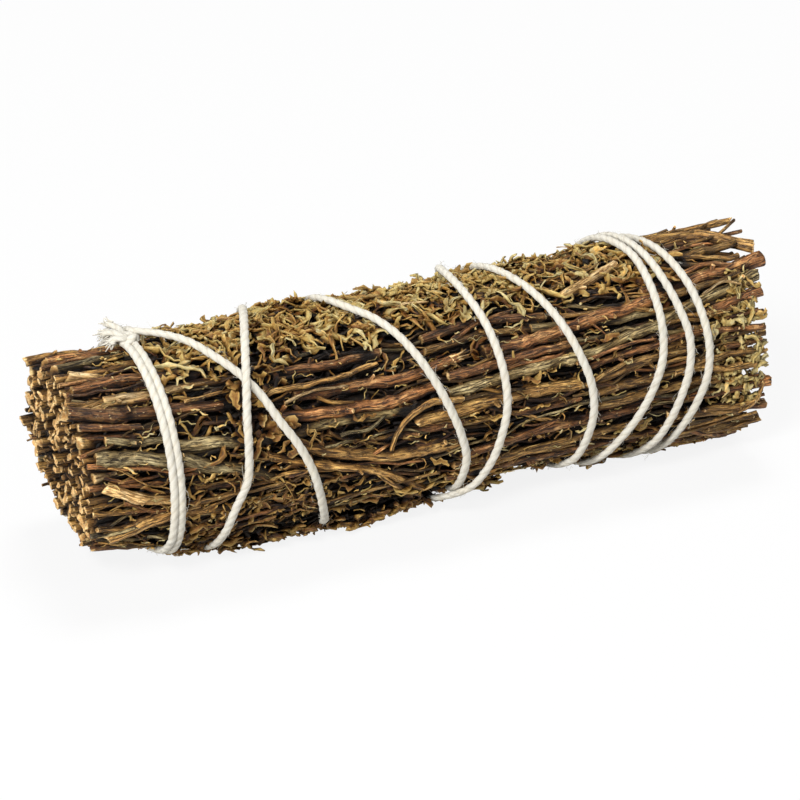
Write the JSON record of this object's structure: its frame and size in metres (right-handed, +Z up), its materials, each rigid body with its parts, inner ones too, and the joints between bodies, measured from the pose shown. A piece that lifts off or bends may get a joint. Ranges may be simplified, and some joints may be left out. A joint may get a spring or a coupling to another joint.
{
  "type": "smudge stick",
  "caption": "Dried herb bundle lying on its side: woody twigs and curled leaves bound with cotton twine, wound out to the tips and back and knotted at the cut end.",
  "frame": {"origin": "on the surface that the bundle lies on, under the middle of its length and width", "axes": "+X along the bundle from the cut stem ends to the leafy tips, +Z up, -Y the front side"},
  "size_m": [0.1264, 0.0407, 0.0393],
  "materials": {
    "red_bark": "dry red-brown bark, satin, finely cracked along the stem",
    "grey_bark": "dry grey-olive bark, matte, weathered and flaky",
    "tan_bark": "dry tan bark, matte, with cut and torn ends",
    "peeled_wood": "peeled pale wood, matte, with fine grain",
    "dry_leaf": "dry curled olive and brown leaves, matte",
    "cotton_twine": "undyed twisted cotton, matte, with loose fibres"
  },
  "bodies": {
    "root": {"binding_twine": "cotton_twine", "packed_leaves_and_twigs": "dry_leaf", "straight_tan_twig": "tan_bark", "brown_top_stem": "red_bark", "grey_top_stem": "grey_bark", "peeled_orange_stem": "peeled_wood", "dark_red_stem": "red_bark", "pale_splinter": "peeled_wood", "thick_red_stem": "red_bark", "small_red_stem": "red_bark", "fat_cut_stem": "tan_bark", "green_stem": "grey_bark", "gnarled_stem": "grey_bark", "short_cut_stem": "peeled_wood", "half_peeled_stem": "peeled_wood", "knotty_tan_stem": "tan_bark", "knobbed_red_stem": "red_bark", "split_red_stem": "red_bark", "bent_red_stem": "red_bark", "grey_middle_stem": "grey_bark", "rough_brown_stem": "tan_bark", "bent_tan_twig": "tan_bark", "thin_red_twig": "red_bark", "upper_red_stem": "red_bark", "upper_brown_stem": "tan_bark", "long_red_stem": "red_bark", "torn_red_stem": "red_bark", "long_grey_stem": "grey_bark", "yellow_brown_stem": "tan_bark", "pale_grey_stick": "peeled_wood", "fine_red_stem": "red_bark", "splintered_stem": "tan_bark", "pale_brown_stem": "tan_bark", "low_brown_stem": "tan_bark", "low_red_stem": "red_bark", "low_brown_twig": "tan_bark", "lower_red_stem": "red_bark", "tip_red_stem": "red_bark", "arched_stem": "tan_bark", "tip_twig": "tan_bark", "knobbed_tip_stem": "red_bark", "lower_tip_stem": "red_bark", "forked_tip_stem": "tan_bark", "bottom_tip_stem": "red_bark", "far_side_stem_01": "red_bark", "far_side_stem_02": "grey_bark", "far_side_stem_03": "tan_bark", "far_side_stem_04": "red_bark", "far_side_stem_05": "grey_bark", "far_side_stem_06": "tan_bark", "far_side_stem_07": "red_bark", "far_side_stem_08": "red_bark", "far_side_stem_09": "red_bark", "far_side_stem_10": "grey_bark", "far_side_stem_11": "tan_bark", "far_side_stem_12": "red_bark", "far_side_stem_13": "grey_bark", "far_side_stem_14": "red_bark"}
  },
  "joints": []
}
